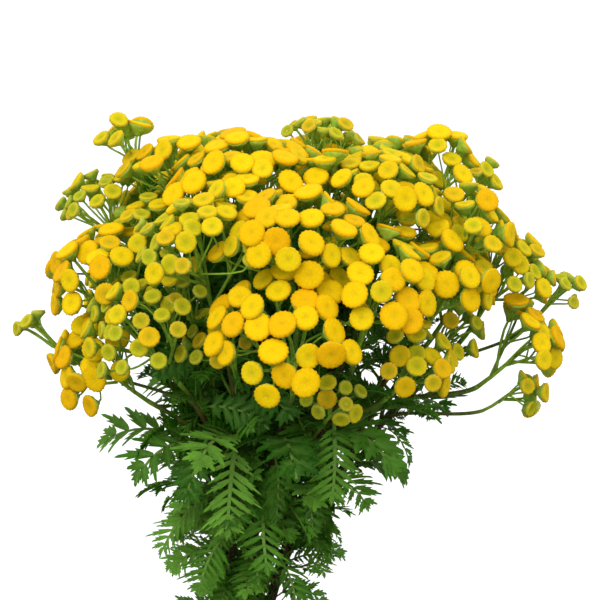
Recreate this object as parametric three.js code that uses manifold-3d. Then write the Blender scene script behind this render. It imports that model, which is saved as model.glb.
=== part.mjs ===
// Potted tansy: a clump of leafy flowering stems in a plain clay pot of soil.
// Each stem carries flat-topped sprays of button-like flower heads on forked stalks, and feathery cut leaves.
// Millimetres, +Z up. The origin is on the pot's axis, on the face that the pot stands on. -Y is the front.
import * as THREE from "three";
import { mergeVertices } from "three/addons/utils/BufferGeometryUtils.js";
import Module from "manifold-3d";

const wasm = await Module();
wasm.setup();

// Driving dimensions
const GAP = 0.3; // between pieces that touch on the real plant
const POT = {
  height: 98,
  rimRadius: 62,
  bodyTopRadius: 57,
  footRadius: 44,
  rimBand: 21,
  edge: 1.4,
  wall: 5,
  floor: 6,
  sides: 30,
};
const SOIL = { level: 85, mound: 4, sides: 16, clearance: 1.2 };
const CROWN = { x: -26, y: 2, inner: 3.3, outer: 7.8, rootDepth: 26 };

// How upright a stem or branch sets out and how straight it arrives, as shares of its reach
const STEM = { footRadius: 1.8, tipRadius: 1.15, sides: 5, steps: 5, upright: 0.56, arrive: 0.3 };
const BRANCH = { footRadius: 1.1, tipRadius: 0.9, sides: 4, steps: 3, upright: 0.3, arrive: 0.3 };

// The radii of a spray's stalks, and where along the trunk and along an arm they fork
const STALK = { trunk: 1.3, arm: 0.8, twig: 0.6, footShare: 0.7, waistShare: 0.9 };
const FORKS = { armsFrom: 0.12, armsTo: 0.5, twigsFrom: 0.4, twigsTo: 0.75 };

const HEAD = { budRadius: 3.1, ripeRadius: 5.6, funnel: 1.1, spacing: 0.7, solidOfEach: [2, 5] };
const SPRAY = {
  depth: 14, // from the fork to the dome, in a spray of no width
  spreadDepth: 1.15, // and what its half width adds
  drop: 0.25, // how far the fork stands below the way that the spray faces, over that depth
  sag: 0.42, // how far the edge lies behind the middle, over the half width
  lean: 0.85, // how far the heads at the edge lean out
  tilt: 0.5,
  uneven: 7,
  ragged: 0.16, // unevenness of the outline, over the half width
  ripeRange: 0.5,
  edgeYounger: 0.12,
  fullFrom: 15, // heads in a spray that has the most arms
  mostArms: 5,
  fewArms: 3,
};
const CANOPY = { heart: [0, 0, 228], halfSize: [115, 92, 88], lift: 0.22 };

const LEAF = {
  pairs: 5,
  petiole: 0.2, // shares of the leaf's length: its stalk, the end of its leaflets and the longest leaflet
  cutTo: 0.92,
  width: 0.25,
  tipAt: 0.35, // where a leaflet's tip would be, in its room along the rib, if it pointed straight out
  forward: 0.55, // how far a leaflet points to the tip, over how far it reaches out
  swell: [0.2, 0.92], // part of a half wave that the leaflets' reach follows
  stalkHalf: 0.8,
  ribHalf: 1.1,
  thickness: 0.7,
  fold: 0.22,
};
const LEAVES = {
  perStem: 4,
  from: 0.14, // shares of the stem's curve
  step: 0.15,
  shortest: 28,
  longest: 46,
  fan: 16,
  rise: 58,
  bend: 115,
  firstSeed: 77,
};
const GOLDEN_TURN = Math.PI * (3 - Math.sqrt(5));

// Each stem: where it stands in the clump, and the sprays that it carries. The first spray is at its tip, and
// the rest are on side branches, which leave it at the share of its length that they give.
// A spray: the middle of its dome, its half width, its number of heads, and how ripe they are, from 0 to 1.
const STEMS = [
  {
    name: "front",
    ring: CROWN.outer,
    turn: 268,
    sprays: [
      { name: "front_high", at: [-2, -62, 308], spread: 24, heads: 28, ripe: 0.92 },
      { name: "front_low", at: [-4, -84, 276], spread: 25, heads: 30, ripe: 1.0, from: 0.66 },
    ],
  },
  {
    name: "front_right",
    ring: CROWN.outer,
    turn: 304,
    sprays: [
      { name: "front_right", at: [30, -66, 290], spread: 23, heads: 26, ripe: 0.88 },
      { name: "right_inner", at: [49, -52, 252], spread: 14, heads: 12, ripe: 0.6, from: 0.64 },
      { name: "low_buds", at: [14, -62, 236], spread: 9, heads: 6, ripe: 0.3, from: 0.5 },
    ],
  },
  {
    name: "upper_right",
    ring: CROWN.inner,
    turn: 330,
    sprays: [
      { name: "upper_right", at: [36, -26, 318], spread: 23, heads: 28, ripe: 0.7 },
      { name: "top_right", at: [62, 14, 322], spread: 14, heads: 12, ripe: 0.75, from: 0.75 },
    ],
  },
  {
    name: "top",
    ring: CROWN.inner,
    turn: 240,
    sprays: [
      { name: "top_centre", at: [-22, -13, 327], spread: 25, heads: 32, ripe: 0.95 },
      { name: "top_bud", at: [9, 20, 329], spread: 14, heads: 12, ripe: 0.25, from: 0.75 },
    ],
  },
  {
    name: "mid_left",
    ring: CROWN.outer,
    turn: 232,
    sprays: [
      { name: "mid_left", at: [-42, -58, 304], spread: 22, heads: 28, ripe: 0.5 },
      { name: "mid_buds", at: [-34, -50, 260], spread: 14, heads: 10, ripe: 0.3, from: 0.6 },
    ],
  },
  {
    name: "left_inner",
    ring: CROWN.outer,
    turn: 196,
    sprays: [
      { name: "left_inner", at: [-68, -54, 270], spread: 21, heads: 26, ripe: 0.4 },
      { name: "left_low", at: [-90, -30, 247], spread: 19, heads: 20, ripe: 0.85, from: 0.66 },
      { name: "left_tip", at: [-110, -6, 250], spread: 7, heads: 5, ripe: 0.25, from: 0.78 },
    ],
  },
  {
    name: "left_mid",
    ring: CROWN.outer,
    turn: 160,
    sprays: [
      { name: "left_mid", at: [-88, -22, 285], spread: 22, heads: 28, ripe: 0.85 },
      { name: "left_upper", at: [-88, 10, 306], spread: 17, heads: 17, ripe: 0.35, from: 0.76 },
    ],
  },
  {
    name: "top_left",
    ring: CROWN.inner,
    turn: 150,
    sprays: [
      { name: "top_left", at: [-54, 2, 323], spread: 22, heads: 27, ripe: 0.8 },
      { name: "top_left_tip", at: [-73, 8, 329], spread: 10, heads: 6, ripe: 0.75, from: 0.78 },
    ],
  },
  {
    name: "right_upper",
    ring: CROWN.outer,
    turn: 340,
    sprays: [
      { name: "right_upper", at: [72, -20, 303], spread: 18, heads: 20, ripe: 0.8 },
      { name: "right_mid", at: [62, -42, 286], spread: 17, heads: 18, ripe: 0.95, from: 0.74 },
      { name: "right_bud", at: [74, 14, 312], spread: 9, heads: 6, ripe: 0.4, from: 0.8 },
    ],
  },
  {
    name: "right_outer",
    ring: CROWN.outer,
    turn: 16,
    sprays: [
      { name: "right_outer", at: [94, 6, 279], spread: 20, heads: 24, ripe: 0.55 },
      { name: "right_low", at: [102, -8, 247], spread: 17, heads: 16, ripe: 0.9, from: 0.74 },
      { name: "right_tip", at: [112, 10, 264], spread: 8, heads: 6, ripe: 0.25, from: 0.8 },
      { name: "right_drop", at: [97, -8, 224], spread: 8, heads: 5, ripe: 0.6, from: 0.68 },
    ],
  },
  {
    name: "back_left",
    ring: CROWN.outer,
    turn: 124,
    sprays: [
      { name: "back_left", at: [-60, 48, 304], spread: 22, heads: 26, ripe: 0.75 },
      { name: "back_left_low", at: [-82, 52, 262], spread: 19, heads: 20, ripe: 0.6, from: 0.66 },
    ],
  },
  {
    name: "back",
    ring: CROWN.outer,
    turn: 88,
    sprays: [
      { name: "back_high", at: [-14, 60, 310], spread: 23, heads: 28, ripe: 0.9 },
      { name: "back_low", at: [-20, 81, 270], spread: 22, heads: 26, ripe: 0.85, from: 0.66 },
    ],
  },
  {
    name: "back_right",
    ring: CROWN.outer,
    turn: 52,
    sprays: [
      { name: "back_right", at: [36, 60, 302], spread: 22, heads: 26, ripe: 0.6 },
      { name: "back_right_low", at: [66, 62, 262], spread: 20, heads: 22, ripe: 0.8, from: 0.66 },
    ],
  },
  {
    name: "top_back",
    ring: CROWN.inner,
    turn: 60,
    sprays: [{ name: "top_back", at: [44, 30, 318], spread: 18, heads: 20, ripe: 0.7 }],
  },
];

const MATERIALS = {
  clay: new THREE.MeshStandardMaterial({ color: 0xb9704a, roughness: 0.9, metalness: 0 }),
  soil: new THREE.MeshStandardMaterial({ color: 0x3b2a1e, roughness: 1, metalness: 0 }),
  leafy: new THREE.MeshStandardMaterial({ color: 0x3d7a34, roughness: 0.7, metalness: 0 }),
  flower: new THREE.MeshStandardMaterial({ color: 0xf7c400, roughness: 0.75, metalness: 0 }),
};

const UP = new THREE.Vector3(0, 0, 1);
const vector = (xyz) => new THREE.Vector3(...xyz);
const radians = THREE.MathUtils.degToRad;
const group = new THREE.Group();

// Random numbers from 0 to 1, the same on every run
function seeded(seed) {
  let state = seed;
  return () => {
    state = (state * 1664525 + 1013904223) % 4294967296;
    return state / 4294967296;
  };
}

// A closed three.js geometry as a solid, and back
function solidOf(geometry) {
  const bare = geometry.clone();
  bare.deleteAttribute("normal");
  bare.deleteAttribute("uv");
  const merged = mergeVertices(bare, 1e-4);
  return new wasm.Manifold(
    new wasm.Mesh({
      numProp: 3,
      vertProperties: merged.attributes.position.array,
      triVerts: new Uint32Array(merged.index.array),
    }),
  );
}

function geometryOf(solid) {
  const mesh = solid.getMesh();
  return new THREE.BufferGeometry()
    .setAttribute("position", new THREE.BufferAttribute(new Float32Array(mesh.vertProperties), 3))
    .setIndex(new THREE.BufferAttribute(new Uint32Array(mesh.triVerts), 1));
}

// The solids of each node. A new piece is tested against the other nodes' pieces.
const nodePieces = new Map();
function crossesAnother(node, piece) {
  const box = piece.boundingBox();
  for (const [other, pieces] of nodePieces) {
    if (other === node) continue;
    for (const placed of pieces) {
      const apart = [0, 1, 2].some((k) => placed.box.min[k] > box.max[k] || placed.box.max[k] < box.min[k]);
      if (!apart && !placed.solid.intersect(piece).isEmpty()) return true;
    }
  }
  return false;
}

function keepPiece(node, solid) {
  if (!nodePieces.has(node)) nodePieces.set(node, []);
  nodePieces.get(node).push({ solid, box: solid.boundingBox() });
}

// A round bar along a curve that stays near one upright plane, thicker at its foot, with flat ends
function bar(curve, footRadius, tipRadius, sides, steps) {
  const geometry = new THREE.CylinderGeometry(tipRadius, footRadius, 1, sides, steps);
  const run = curve.getPoint(1).sub(curve.getPoint(0));
  const side = new THREE.Vector3().crossVectors(run, UP);
  if (side.length() < 1e-6) side.set(1, 0, 0);
  const place = geometry.attributes.position;
  for (let i = 0; i < place.count; i++) {
    const t = place.getY(i) + 0.5;
    const ahead = curve.getTangent(t);
    const across = new THREE.Vector3().crossVectors(ahead, side).normalize();
    const level = new THREE.Vector3().crossVectors(across, ahead);
    const point = curve
      .getPoint(t)
      .addScaledVector(level, place.getX(i))
      .addScaledVector(across, -place.getZ(i));
    place.setXYZ(i, point.x, point.y, point.z);
  }
  return solidOf(geometry);
}

const straight = (from, to, radius, sides) => bar(new THREE.LineCurve3(from, to), radius, radius, sides, 1);

const isSolid = (head) => head.order % HEAD.solidOfEach[1] < HEAD.solidOfEach[0];

// Where a head's funnel ends in its stalk
const neckOf = (head) => head.seat.clone().addScaledVector(head.axis, -HEAD.funnel * head.radius);

// A flower head on its stalk, in one skin: a three-sided stalk, and a funnel that widens from three sides to
// the six of the button's flat top. The seat is the middle of that top.
function stalkedHead(root, head, radius, grow = 0) {
  const ahead = head.axis;
  const right = new THREE.Vector3().crossVectors(UP, ahead).normalize();
  const top = new THREE.Vector3().crossVectors(ahead, right);
  const neck = neckOf(head);
  const along = neck.clone().sub(root).normalize();
  const rootRight = right.clone().addScaledVector(along, -right.dot(along)).normalize();
  const rootTop = new THREE.Vector3().crossVectors(along, rootRight);
  const ring = (centre, u, v, reach, sides) =>
    Array.from({ length: sides }, (_, i) => {
      const turn = (2 * Math.PI * i) / sides;
      return centre
        .clone()
        .addScaledVector(u, reach * Math.cos(turn))
        .addScaledVector(v, reach * Math.sin(turn));
    });
  const foot = ring(root, rootRight, rootTop, radius * STALK.footShare + grow, 3);
  const waist = ring(neck, right, top, radius * STALK.waistShare + grow, 3);
  const rim = ring(head.seat, right, top, head.radius + grow, 6);
  const points = [...foot, ...waist, ...rim];
  const [waistAt, rimAt] = [3, 6];
  const faces = [[2, 1, 0]];
  for (let i = 0; i < 3; i++) {
    const next = (i + 1) % 3;
    const [a, b, c] = [rimAt + 2 * i, rimAt + 2 * i + 1, rimAt + 2 * next];
    faces.push([i, next, waistAt + next], [i, waistAt + next, waistAt + i]);
    faces.push([waistAt + i, b, a], [waistAt + i, waistAt + next, b], [waistAt + next, c, b]);
    faces.push([a, b, c]);
  }
  faces.push([rimAt, rimAt + 2, rimAt + 4]);
  const geometry = new THREE.BufferGeometry().setFromPoints(points).setIndex(faces.flat());
  return solidOf(geometry);
}

// The outline of a tansy leaf: leaflets in pairs, cut to a narrow winged rib, and a pointed end
function leafOutline(length) {
  const start = LEAF.petiole * length;
  const pitch = (LEAF.cutTo * length - start) / LEAF.pairs;
  const side = [[0, LEAF.stalkHalf]];
  for (let i = 0; i < LEAF.pairs; i++) {
    const root = start + pitch * i;
    const wave = Math.sin(Math.PI * THREE.MathUtils.lerp(...LEAF.swell, i / LEAF.pairs));
    const reach = LEAF.width * length * wave;
    side.push([root, LEAF.ribHalf]);
    side.push([root + pitch * LEAF.tipAt + reach * LEAF.forward, reach]);
  }
  side.push([LEAF.cutTo * length, LEAF.ribHalf]);
  const mirrored = side.map(([x, y]) => [x, -y]).reverse();
  return [...side, [length, 0], ...mirrored];
}

// One thin arched blade: it leaves the stem at its rise, bends down to its tip and folds up from its rib
function leafBlade(leaf, grow = 0) {
  const outline = leafOutline(leaf.length).map(([x, y]) => new THREE.Vector2(x, y));
  const depth = LEAF.thickness + 2 * grow;
  const geometry = new THREE.ExtrudeGeometry(new THREE.Shape(outline), { depth, bevelEnabled: false });
  const out = new THREE.Vector3(Math.cos(leaf.turn), Math.sin(leaf.turn), 0);
  const across = new THREE.Vector3().crossVectors(UP, out);
  const place = geometry.attributes.position;
  for (let i = 0; i < place.count; i++) {
    const along = place.getX(i);
    const side = place.getY(i);
    const angle = leaf.rise - (leaf.bend * along) / leaf.length;
    const radius = leaf.length / leaf.bend;
    const lift = place.getZ(i) - depth / 2 + Math.abs(side) * LEAF.fold;
    const point = leaf.root
      .clone()
      .addScaledVector(out, radius * (Math.sin(leaf.rise) - Math.sin(angle)) - lift * Math.sin(angle))
      .addScaledVector(UP, radius * (Math.cos(angle) - Math.cos(leaf.rise)) + lift * Math.cos(angle))
      .addScaledVector(across, side);
    place.setXYZ(i, point.x, point.y, point.z);
  }
  return solidOf(geometry);
}

// Where a spray's fork and heads go. The heads follow a golden spiral over a dome that faces out of the
// canopy, and one that has no room beside those already placed is left out.
const placedHeads = [];
function layOutSpray(spray, seed) {
  const random = seeded(seed);
  const middle = vector(spray.at);
  const facing = middle
    .clone()
    .sub(vector(CANOPY.heart))
    .divide(vector(CANOPY.halfSize))
    .normalize()
    .addScaledVector(UP, CANOPY.lift)
    .normalize();
  const right = new THREE.Vector3().crossVectors(UP, facing).normalize();
  const top = new THREE.Vector3().crossVectors(facing, right);
  const depth = spray.spread * SPRAY.spreadDepth + SPRAY.depth;
  const fork = middle
    .clone()
    .addScaledVector(facing, -depth)
    .addScaledVector(UP, -SPRAY.drop * depth);
  const phase = random() * 2 * Math.PI;
  const armCount = spray.heads < SPRAY.fullFrom ? SPRAY.fewArms : SPRAY.mostArms;
  const heads = [];
  for (let i = 0; i < spray.heads; i++) {
    const share = Math.sqrt((i + 0.5) / spray.heads);
    const turn = phase + i * GOLDEN_TURN;
    const draws = Array.from({ length: 6 }, random);
    const outward = right.clone().multiplyScalar(Math.cos(turn)).addScaledVector(top, Math.sin(turn));
    const reach = spray.spread * share * (1 + SPRAY.ragged * (draws[0] - 0.5));
    const rise = SPRAY.uneven * (draws[1] - 0.5) - SPRAY.sag * spray.spread * share * share;
    const seat = middle.clone().addScaledVector(outward, reach).addScaledVector(facing, rise);
    const tilt = new THREE.Vector3(draws[2] - 0.5, draws[3] - 0.5, draws[4] - 0.5);
    const axis = facing
      .clone()
      .addScaledVector(outward, SPRAY.lean * share)
      .addScaledVector(tilt, SPRAY.tilt)
      .normalize();
    const ripeness = spray.ripe + SPRAY.ripeRange * (draws[5] - 0.5) - SPRAY.edgeYounger * share;
    const ripe = THREE.MathUtils.clamp(ripeness, 0, 1);
    const radius = THREE.MathUtils.lerp(HEAD.budRadius, HEAD.ripeRadius, ripe);
    const arm = Math.floor(((turn / (2 * Math.PI)) % 1) * armCount);
    const head = { seat, axis, radius, arm, order: i };
    const room = (other) => other.seat.distanceTo(seat) > HEAD.spacing * (other.radius + radius);
    if (placedHeads.every(room)) {
      placedHeads.push(head);
      heads.push(head);
    }
  }
  return { name: spray.name, fork, facing, heads, armCount };
}

// A curve that first rises straight up from its foot and reaches its end along the way that the spray faces
function risingCurve(foot, spray, upright, arrive) {
  const reach = spray.fork.distanceTo(foot);
  const ahead = spray.facing.clone().addScaledVector(UP, SPRAY.drop).normalize();
  return new THREE.CubicBezierCurve3(
    foot,
    foot.clone().addScaledVector(UP, upright * reach),
    spray.fork.clone().addScaledVector(ahead, -arrive * reach),
    spray.fork,
  );
}

function potSolid() {
  const { height, rimRadius, bodyTopRadius, footRadius, rimBand, edge, wall, floor, sides } = POT;
  const profile = [
    [0, 0],
    [footRadius - edge, 0],
    [footRadius, edge],
    [bodyTopRadius, height - rimBand],
    [rimRadius, height - rimBand],
    [rimRadius, height - edge],
    [rimRadius - edge, height],
    [rimRadius - wall, height],
    [footRadius - wall, floor],
    [0, floor],
  ].map(([x, y]) => new THREE.Vector2(x, y));
  return solidOf(new THREE.LatheGeometry(profile, sides).rotateX(Math.PI / 2));
}

// The pot's inner radius at a height
const innerRadius = (z) =>
  THREE.MathUtils.mapLinear(z, POT.floor, POT.height, POT.footRadius - POT.wall, POT.rimRadius - POT.wall);

function soilSolid() {
  const low = POT.floor + GAP;
  const profile = [
    [0, low],
    [innerRadius(low) - SOIL.clearance, low],
    [innerRadius(SOIL.level) - SOIL.clearance, SOIL.level],
    [innerRadius(SOIL.level) * 0.6, SOIL.level + SOIL.mound * 0.7],
    [0, SOIL.level + SOIL.mound],
  ].map(([x, y]) => new THREE.Vector2(x, y));
  return solidOf(new THREE.LatheGeometry(profile, SOIL.sides).rotateX(Math.PI / 2));
}

// The hole that a stem stands in. The stem is straight that far.
function stemHole(main) {
  const below = main.v0.clone().addScaledVector(UP, -GAP);
  return straight(below, main.getPoint(1 / STEM.steps), STEM.footRadius + 2 * GAP, STEM.sides);
}

keepPiece("pot", potSolid());
keepPiece("soil", soilSolid());

// The stems, with their side branches
const sprays = [];
const plants = STEMS.map((stem, index) => {
  const turn = radians(stem.turn);
  const ground = SOIL.level + SOIL.mound - CROWN.rootDepth;
  const foot = new THREE.Vector3(
    CROWN.x + stem.ring * Math.cos(turn),
    CROWN.y + stem.ring * Math.sin(turn),
    ground,
  );
  const laidOut = stem.sprays.map((spray, k) => layOutSpray(spray, 1000 * (index + 1) + 10 * k));
  const main = risingCurve(foot, laidOut[0], STEM.upright, STEM.arrive);
  const node = `stem_${stem.name}`;
  keepPiece(node, bar(main, STEM.footRadius, STEM.tipRadius, STEM.sides, STEM.steps));
  laidOut.forEach((spray, k) => {
    let curve = main;
    if (k > 0) {
      curve = risingCurve(main.getPoint(stem.sprays[k].from), spray, BRANCH.upright, BRANCH.arrive);
      keepPiece(node, bar(curve, BRANCH.footRadius, BRANCH.tipRadius, BRANCH.sides, BRANCH.steps));
    }
    sprays.push({ ...spray, arrival: curve.getTangent(1) });
  });
  return { node, stem, main, foot, turn, index };
});

// The sprays: a trunk from the fork to the middle head, an arm from it to the outermost head of each sector,
// and twigs from that arm to the sector's other heads. Two heads of each five are solid.
for (const spray of sprays) {
  const node = `spray_${spray.name}`;
  const keepHead = (root, head, radius) => {
    if (crossesAnother(node, stalkedHead(root, head, radius, GAP))) return false;
    keepPiece(node, stalkedHead(root, head, radius));
    return true;
  };
  const start = spray.fork.clone().addScaledVector(spray.arrival, 2 * GAP);
  const [middle, ...others] = spray.heads.filter(isSolid);
  keepPiece(node, stalkedHead(start, middle, STALK.trunk));
  for (let j = 0; j < spray.armCount; j++) {
    const own = others.filter((head) => head.arm === j).reverse();
    const share = THREE.MathUtils.lerp(FORKS.armsFrom, FORKS.armsTo, (j + 0.5) / spray.armCount);
    const root = start.clone().lerp(neckOf(middle), share);
    let lead = null;
    let twigs = 0;
    for (const head of own) {
      if (!lead) {
        if (keepHead(root, head, STALK.arm)) lead = head;
        continue;
      }
      const along = THREE.MathUtils.lerp(FORKS.twigsFrom, FORKS.twigsTo, twigs / own.length);
      if (keepHead(root.clone().lerp(neckOf(lead), along), head, STALK.twig)) twigs += 1;
    }
  }
}

// The leaves, up each outer stem and fanned to either side of the way that it leans. The higher ones are
// longer, and every second stem's stand half a step higher.
for (const plant of plants.filter(({ stem }) => stem.ring === CROWN.outer)) {
  const random = seeded(LEAVES.firstSeed + plant.index);
  const stagger = plant.index % 2 ? 0.5 : 0;
  for (let j = 0; j < LEAVES.perStem; j++) {
    const draws = Array.from({ length: 4 }, random);
    const sideways = radians(LEAVES.fan) * ((j % 2 ? 1 : -1) + 0.3 * (draws[1] - 0.5));
    const growth = (j / (LEAVES.perStem - 1)) ** 2;
    const length = THREE.MathUtils.lerp(LEAVES.shortest, LEAVES.longest, growth);
    const leaf = {
      root: plant.main.getPoint(LEAVES.from + LEAVES.step * (j + stagger + 0.15 * draws[0])),
      turn: plant.turn + sideways,
      length: length * (0.9 + 0.2 * draws[2]),
      rise: radians(LEAVES.rise),
      bend: radians(LEAVES.bend) * (0.8 + 0.4 * draws[3]),
    };
    if (!crossesAnother(plant.node, leafBlade(leaf, GAP))) keepPiece(plant.node, leafBlade(leaf));
  }
}

// One mesh for each node, in the material that its kind of piece has
const kinds = { pot: MATERIALS.clay, soil: MATERIALS.soil, stem: MATERIALS.leafy, spray: MATERIALS.flower };
const soilHoles = plants.map((plant) => stemHole(plant.main));
for (const [node, pieces] of nodePieces) {
  let whole = pieces.map((piece) => piece.solid).reduce((sum, solid) => sum.add(solid));
  if (node === "soil") whole = soilHoles.reduce((soil, hole) => soil.subtract(hole), whole);
  const mesh = new THREE.Mesh(geometryOf(whole), kinds[node.split("_")[0]]);
  mesh.name = node;
  group.add(mesh);
}

export default group;
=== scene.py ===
"""Potted tansy: the CAD frame dressed with fine flower heads, cut leaves, ridged stems, a clay pot and soil.

The plant is laid out by the same rules and the same seeded numbers as the CAD part, in millimetres, so that
each fine piece lies where the node that it replaces does. Meshes are scaled to metres when they are made.
"""

import math

import bpy
import numpy as np
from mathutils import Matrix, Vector, noise
from mathutils.geometry import delaunay_2d_cdt


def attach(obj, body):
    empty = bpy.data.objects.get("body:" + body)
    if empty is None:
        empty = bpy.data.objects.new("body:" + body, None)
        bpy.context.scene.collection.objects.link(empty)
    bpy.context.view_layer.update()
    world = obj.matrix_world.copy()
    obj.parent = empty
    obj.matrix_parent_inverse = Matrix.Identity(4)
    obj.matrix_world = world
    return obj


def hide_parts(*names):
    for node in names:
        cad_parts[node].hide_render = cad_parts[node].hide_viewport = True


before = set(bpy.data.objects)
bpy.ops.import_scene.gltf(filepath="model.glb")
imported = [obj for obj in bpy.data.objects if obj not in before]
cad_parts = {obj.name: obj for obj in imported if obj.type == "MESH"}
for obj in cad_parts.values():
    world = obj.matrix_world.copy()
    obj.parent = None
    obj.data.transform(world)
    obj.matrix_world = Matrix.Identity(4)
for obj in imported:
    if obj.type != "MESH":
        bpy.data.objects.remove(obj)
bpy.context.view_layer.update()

MM = 0.001
UP = Vector((0, 0, 1))
GOLDEN_TURN = math.pi * (3 - math.sqrt(5))

# The camera looks at the middle of the plant's picture from the photograph's height and distance.
TARGET = Vector((0, 0, 0.259))
DISTANCE = 0.6
ELEVATION = math.radians(15)
LENS = 90
SENSOR = 36

# The plant's sizes, as in the CAD part. steps, sides and age are this scene's own: how finely it draws a stem
# or a branch, and how brown that gets.
GAP = 0.3
POT = dict(height=98, rim=62, body_top=57, foot=44, band=21, wall=5, floor=6)
SOIL = dict(level=85, mound=4, clearance=1.2)
CROWN = dict(x=-26, y=2, inner=3.3, outer=7.8, root_depth=26)
OUTER, INNER = CROWN["outer"], CROWN["inner"]
STEM = dict(foot=1.8, upright=0.56, arrive=0.3, steps=44, sides=10, age=1)
BRANCH = dict(foot=1.1, upright=0.3, arrive=0.3, steps=24, sides=8, age=0.45)
HEAD = dict(bud=3.1, ripe=5.6, round=0.92, funnel=1.1, spacing=0.7, solid_of_each=(2, 5))
SPRAY = dict(
    depth=14, spread_depth=1.15, drop=0.25, sag=0.42, lean=0.85, tilt=0.5, uneven=7, ragged=0.16,
    ripeness=0.5, edge_younger=0.12, few_arms=3, most_arms=5, most_from=15,
)
CANOPY = dict(heart=Vector((0, 0, 228)), half=Vector((115, 92, 88)), lift=0.22)
LEAF = dict(petiole=0.2, cut_to=0.92, width=0.29, forward=0.55, swell=(0.2, 0.92), fold=0.22)
LEAVES = dict(
    per_stem=4, start=0.14, step=0.15, shortest=28, longest=46, fan=16, rise=58, bend=115, start_varies=0.15,
    fan_varies=0.3, length_varies=(0.9, 1.1), bend_varies=(0.8, 1.2),
)

# The radii at both ends of a spray's stalks, and where on the trunk its arms start and on an arm its twigs
STALK = dict(trunk=(1.15, 0.6), arm=(0.7, 0.5), bare_arm=(0.7, 0.45), twig=(0.46, 0.4))
FORKS = dict(arms=(0.12, 0.5), twigs=(0.3, 0.75))
# The heads that only this scene has: how near they come to others, how many each spray gets beside its own,
# and their tilt. A spray further than off_axis from the clump's axis gets none of these beside its own where
# they would stand on its outer side, by a cosine above outward.
FILL = dict(spacing=0.62, more_heads=0.6, tilt=0.9, off_axis=30, outward=0.25)
# What seeds are made from: where each kind starts, and the steps from stem to stem and spray to spray
SEEDS = dict(
    fill=50000, stem=1000, spray=10, heads=5, leaves=77, more_leaves=7000, other_leaves=900, soil=4242
)

# Each stem: its ring in the clump, the way it leans in degrees, and its sprays. A spray has a name, the
# middle of its dome, its half width, its heads, its ripeness, and how far up the stem its branch leaves it.
STEMS = [
    ("front", OUTER, 268, [
        ("front_high", (-2, -62, 308), 24, 28, 0.92, None),
        ("front_low", (-4, -84, 276), 25, 30, 1.0, 0.66),
    ]),
    ("front_right", OUTER, 304, [
        ("front_right", (30, -66, 290), 23, 26, 0.88, None),
        ("right_inner", (49, -52, 252), 14, 12, 0.6, 0.64),
        ("low_buds", (14, -62, 236), 9, 6, 0.3, 0.5),
    ]),
    ("upper_right", INNER, 330, [
        ("upper_right", (36, -26, 318), 23, 28, 0.7, None),
        ("top_right", (62, 14, 322), 14, 12, 0.75, 0.75),
    ]),
    ("top", INNER, 240, [
        ("top_centre", (-22, -13, 327), 25, 32, 0.95, None),
        ("top_bud", (9, 20, 329), 14, 12, 0.25, 0.75),
    ]),
    ("mid_left", OUTER, 232, [
        ("mid_left", (-42, -58, 304), 22, 28, 0.5, None),
        ("mid_buds", (-34, -50, 260), 14, 10, 0.3, 0.6),
    ]),
    ("left_inner", OUTER, 196, [
        ("left_inner", (-68, -54, 270), 21, 26, 0.4, None),
        ("left_low", (-90, -30, 247), 19, 20, 0.85, 0.66),
        ("left_tip", (-110, -6, 250), 7, 5, 0.25, 0.78),
    ]),
    ("left_mid", OUTER, 160, [
        ("left_mid", (-88, -22, 285), 22, 28, 0.85, None),
        ("left_upper", (-88, 10, 306), 17, 17, 0.35, 0.76),
    ]),
    ("top_left", INNER, 150, [
        ("top_left", (-54, 2, 323), 22, 27, 0.8, None),
        ("top_left_tip", (-73, 8, 329), 10, 6, 0.75, 0.78),
    ]),
    ("right_upper", OUTER, 340, [
        ("right_upper", (72, -20, 303), 18, 20, 0.8, None),
        ("right_mid", (62, -42, 286), 17, 18, 0.95, 0.74),
        ("right_bud", (74, 14, 312), 9, 6, 0.4, 0.8),
    ]),
    ("right_outer", OUTER, 16, [
        ("right_outer", (94, 6, 279), 20, 24, 0.55, None),
        ("right_low", (102, -8, 247), 17, 16, 0.9, 0.74),
        ("right_tip", (112, 10, 264), 8, 6, 0.25, 0.8),
        ("right_drop", (97, -8, 224), 8, 5, 0.6, 0.68),
    ]),
    ("back_left", OUTER, 124, [
        ("back_left", (-60, 48, 304), 22, 26, 0.75, None),
        ("back_left_low", (-82, 52, 262), 19, 20, 0.6, 0.66),
    ]),
    ("back", OUTER, 88, [
        ("back_high", (-14, 60, 310), 23, 28, 0.9, None),
        ("back_low", (-20, 81, 270), 22, 26, 0.85, 0.66),
    ]),
    ("back_right", OUTER, 52, [
        ("back_right", (36, 60, 302), 22, 26, 0.6, None),
        ("back_right_low", (66, 62, 262), 20, 22, 0.8, 0.66),
    ]),
    ("top_back", INNER, 60, [("top_back", (44, 30, 318), 18, 20, 0.7, None)]),
]

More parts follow.
